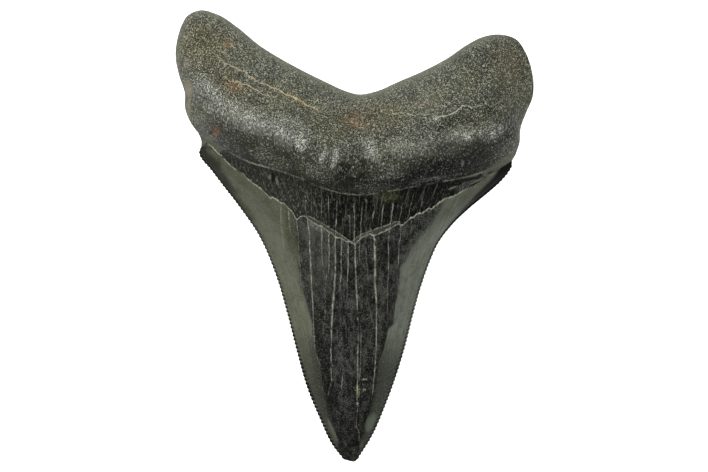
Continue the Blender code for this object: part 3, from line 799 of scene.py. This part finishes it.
bevel_reflection_colour = fossil.coats(
    fossil.blend(fossil.rise(x, -4.0, 4.0), colour(95, 97, 82), colour(105, 110, 100)),
    (fossil.rise(y, -2.0, 8.0) * 0.7, (76, 78, 64)),
    (fossil.rise(y, -17.0, -25.0) * 0.75, (50, 52, 46)),
    (fossil.rise(stripes, 0.62, 0.35) * 0.34, (62, 64, 46)),
    (fossil.rise(stripes, 0.5, 0.75) * 0.4, (116, 118, 104)),
    (dusk.most(left_dusk) * 0.55, (24, 26, 22)),
    (streaked * 0.3, (44, 45, 30)),
    (inner * 0.6, (50, 51, 34)),
    (inner_low, (18, 20, 15)),
    (fossil.slide(coarse, 0.52, 0.36, 0.3), (58, 61, 42)),
    (fossil.slide(fine + coarse * 0.3, 0.60, 0.42, 0.3), (34, 35, 24)),
    (fossil.slide(fine, 0.52, 0.75, 0.3), (140, 142, 128)),
)

# The marks near the tip, the painted shade of the dark shoulders, and the serrations with the pale grooves
# between them.
green = blot(2.9, -32.4, 2.2, 1.2, 68)
nodes = blots((1.6, -24.8, 0.3), (2.0, -24.8, 0.25), (1.7, -26.6, 0.4, 0.4, 0, 0.7), (0.5, -29.0, 0.35))
nodes = nodes * fossil.rise(fine, 0.36, 0.56)
node_stain = blot(0.55, -26.8, 0.55, 1.3) * fossil.rise(fine, 0.35, 0.6)
olive = blot(1.9, -35.0, 1.4, 0.9, 60)
pale_edge = blot(-3.8, -33.8, 3.0, 0.35, -66)
shoulder = fossil.slide(y, 0.0, 14.0, 1.9) - fossil.rise(y, 13.4, 15.8) * 0.9
shaded = (from_edge - shoulder) * (fossil.slide(x, -4.0, 4.0, 0.5) + 0.5)
shaded = fossil.rise(shaded + (coarse - 0.5) * fossil.slide(x, 4.0, -4.0, 0.8), 0.35, -0.25)
shaded = shaded * (fossil.rise(x, -4.0, 4.0) * 0.28 + 0.7) * (fossil.rise(y, -4.0, 8.0) * 0.6 + 0.4)
turns = (v - ENAMEL_EDGE) * (SERRATIONS * 2 * np.pi) + from_edge * 5.0 + np.pi
lower = fossil.slide(y, 2.0, -22.0, 1.0)
serration = fossil.rise(turns.maths("COSINE", turns), -0.2, 0.4)
serration = serration * fossil.rise(from_edge - lower * 0.12, 0.42, 0.28)
dark_edge = fossil.rise(from_edge, 0.75, 0.45) * fossil.rise(y, -16.0, -24.0)
groove = (1 - serration) * fossil.rise(from_edge, 0.75, 0.3) * (lower * 0.7 + 0.3)
groove = groove * (fossil.slide(y, 10.0, 0.0, 0.8) + 0.2) * fossil.slide(coarse, 0.3, 0.62, 0.75)
chipped = blot(-6.6, 1.7, 2.2, 0.7, -32) * fossil.slide(spots, 0.35, 0.6, 0.6)
crown_colour = fossil.coats(
    # The bevels' painted reflection over the mottled middle.
    fossil.blend(bevel.most(green), middle_colour, bevel_reflection_colour),
    (green * (fossil.rise(stripes, 0.3, 0.6) * 0.4 + 0.4), (92, 102, 86)),
    (nodes * 0.8, (150, 150, 148)),
    (node_stain * 0.7, (128, 128, 82)),
    (olive * 0.6, (44, 43, 28)),
    (pale_edge * 0.6, (96, 98, 86)),
    # Painted shade of the shoulders.
    (shaded, (14, 15, 10)),
    (dark_edge * 0.6, (16, 17, 14)),
    (groove, (98, 101, 90)),
    (serration * (lower * 0.25 + 0.7), (9, 9, 7)),
    (chipped, (120, 122, 110)),
)

# Where the three meet: pale lines, and a grey strip between the enamel's two edges.
ragged = (fine - 0.5) * 0.3 + (spots - 0.5) * 0.3
at_ends = fossil.rise(from_middle, 23.6, 22.0)
stain_edge = below_root * at_ends + (below_enamel - 0.2) * (1 - at_ends)
on_root = fossil.rise(stain_edge + ragged, 0.12, -0.12)
on_crown = fossil.rise(below_enamel + (spots - 0.5) * fossil.slide(x, -24.0, -26.0, 2.5), -0.05, 0.05)
between = on_crown.most(fossil.rise(below_second, -0.05, 0.05)) - on_crown
beads = fossil.slide(spots, 0.38, 0.62, 0.9) + 0.1
gaps = fossil.slide(fossil.grain(position, 2.4, 1.0), 0.34, 0.46, 1.0)
bright = blot(-16.6, 12.4, 3.4, 1.6)
root_line = fossil.rise(abs(below_root + ragged * 1.4), 0.2, 0.05) * gaps.most(bright) * at_ends
root_line = root_line * (bright * 0.4 + 0.5) * beads.most(bright * 0.7)
second_line = fossil.rise(abs(below_second + ragged), 0.17, 0.06) * upper * 0.6 * beads
reach = fossil.rise(abs(x + 3.0), 22.8, 21.8) * (1 - blot(-20.0, 11.3, 0.9)) * (1 - blot(-22.9, 13.8, 0.4))
middle_part = fossil.rise(abs(x), 12.0, 8.0)
enamel_line = fossil.rise(abs(below_enamel + ragged * 1.5), 0.19, 0.04) * reach * (gaps * 0.5 + 0.5)
enamel_line = enamel_line * (beads * 0.6 + 0.26 - middle_part * 0.08)

# The cracks: thin and pale, yellowish here and there.
half_width = crack_strength * crack_strength * 0.075 + on_root * 0.03
jagged = ragged * 0.9 + on_root * (coarse - 0.5) * 1.6
in_band = (1 - on_root) * (1 - on_crown) * upper
knots = fossil.slide(fossil.grain(fossil.vector(x, y * 0.6, z), 0.36, 2.0, 0.7), 0.40, 0.62, 0.45)
knots = knots + fossil.slide(fossil.grain(fossil.vector(x, y, z), 1.3, 1.0), 0.44, 0.60, 0.45) + 0.14
crack = fossil.rise(abs(crack_offset + jagged) - half_width, 0.09, -0.05)
crack = crack * fossil.slide(crack_strength + in_band * 0.15, 0.05, 0.6, 1.0)
crack = crack * knots.most(on_root * (beads * 0.6 + 0.3))
glow = fossil.rise(abs(crack_offset), 0.45, 0.08) * fossil.slide(crack_strength, 0.8, 1.3, 0.45) * on_crown
crown_crack = fossil.blend(fossil.rise(coarse, 0.5, 0.65), colour(166, 168, 156), colour(158, 159, 138))
root_crack = fossil.blend(fossil.rise(x, -2.0, 6.0), colour(208, 194, 152), colour(200, 204, 176))

# Pits and slits, darker than the skin around them, and a few pale strands between them.
strand = blots((21.5, 9.75, 1.7, 0.3, 28), (20.5, 10.6, 1.7, 0.28, 17), (17.0, 8.45, 1.2, 0.24, 21),
               (23.8, 10.8, 1.2, 0.3, 27), (-14.6, 10.3, 0.45, 0.6), (-13.4, 9.5, 0.3, 1.0, 15),
               (18.6, 12.6, 0.3, 0.8, -10), (-25.4, 23.4, 1.1, 0.2, -28))
ridge = blots((13.0, 9.9, 4.4, 0.45, 9), (19.3, 8.8, 2.5, 1.0, 24))
dark = blots((-14.1, 10.0, 1.3, 0.45, -84), (23.5, 11.1, 0.8, 0.22, 25), (18.2, 9.1, 0.9, 0.28, 34),
             (20.4, 10.0, 1.5, 0.25, 20), (20.8, 9.1, 1.7, 0.2, 29), (-26.1, 24.0, 1.9, 0.24, -28, 0.7),
             (-24.9, 18.0, 0.6, 0.6, 0, 0.8))

# All of it together.
skin = fossil.coats(
    fossil.blend(on_root, band_colour, root_colour),
    (between * 0.8, (66, 67, 60)),
    (on_crown, crown_colour),
    (root_line, (164, 164, 146)),
    (second_line, (150, 149, 132)),
    (enamel_line, fossil.blend(middle_part, colour(200, 199, 180), colour(180, 181, 163))),
    (glow * 0.8, (60, 62, 50)),
    (crack * 0.9, fossil.blend(on_root, crown_crack, root_crack)),
    (strand * upper * 0.7, (110, 113, 100)),
    (ridge * upper * fossil.slide(streaky, 0.36, 0.6, 0.7), (104, 106, 98)),
    (dark * upper * 0.9, (6, 6, 5)),
)
relief = on_root * grained * (grains * 0.35 - pits * 0.5 + coarse * 0.8) + (1 - on_root) * stripes * 0.15
normal = fossil.node("Bump", {}, {"Strength": 0.9, "Distance": 0.2 * MM, "Height": relief}, "Normal")
polish = on_root * (crest_highlight_and_polish * grains * 0.6).most(glints * 0.4) + on_crown * (1 - bevel) * 0.1
fossil.set({"Base Color": skin, "Normal": normal, "Coat Weight": polish, "Coat Roughness": 0.32,
            "Roughness": 0.6, "Specular IOR Level": 0.06})
tooth.data.materials.append(fossil.material)

# The stage: a white table under a light tent, with a soft box on each side and a darker ceiling.
FLOOR_SIZE = 4.0
stage_mesh = bmesh.new()
bmesh.ops.create_grid(stage_mesh, x_segments=1, y_segments=1, size=FLOOR_SIZE / 2)
floor_data = bpy.data.meshes.new("floor")
stage_mesh.to_mesh(floor_data)
stage_mesh.free()
floor = bpy.data.objects.new("floor", floor_data)
bpy.context.scene.collection.objects.link(floor)
paper = Finish("paper")
paper.set({"Base Color": (0.9, 0.9, 0.9, 1), "Roughness": 0.9, "Emission Color": (1, 1, 1, 1),
           "Emission Strength": 0.95})
floor.data.materials.append(paper.material)


def soft_box(name, place, width, height, watts):
    """A soft light that faces the tooth."""
    light = bpy.data.lights.new(name, "AREA")
    light.shape = "RECTANGLE"
    light.size = width
    light.size_y = height
    light.energy = watts
    lamp = bpy.data.objects.new(name, light)
    lamp.location = place
    lamp.rotation_euler = (-Vector(place)).to_track_quat("-Z", "Y").to_euler()
    bpy.context.scene.collection.objects.link(lamp)


soft_box("left_box", (-0.27, 0.05, 0.50), 0.16, 0.16, 2.2)
soft_box("right_box", (0.30, 0.02, 0.48), 0.16, 0.16, 1.1)
soft_box("root_box", (0.0, 0.60, 0.26), 1.2, 0.5, 3.0)

world = bpy.data.worlds.new("room")
bpy.context.scene.world = world
world.use_nodes = True
background = world.node_tree.nodes["Background"]
background.inputs["Color"].default_value = (0.5, 0.5, 0.5, 1)
background.inputs["Strength"].default_value = 0.12

# The camera looks straight down through a long lens.
PIXELS_ACROSS = 708
MM_PER_PIXEL = 0.175
PICTURE_WIDTH = PIXELS_ACROSS * MM_PER_PIXEL * MM
SENSOR_WIDTH = 36.0
CAMERA_HEIGHT = 0.8
camera = bpy.data.cameras.new("camera")
camera.sensor_width = SENSOR_WIDTH
camera.lens = SENSOR_WIDTH * CAMERA_HEIGHT / PICTURE_WIDTH
camera_object = bpy.data.objects.new("camera", camera)
camera_object.location = (-0.0001, 0.0001, CAMERA_HEIGHT)
bpy.context.scene.collection.objects.link(camera_object)
bpy.context.scene.camera = camera_object
bpy.context.scene.view_settings.view_transform = "Standard"
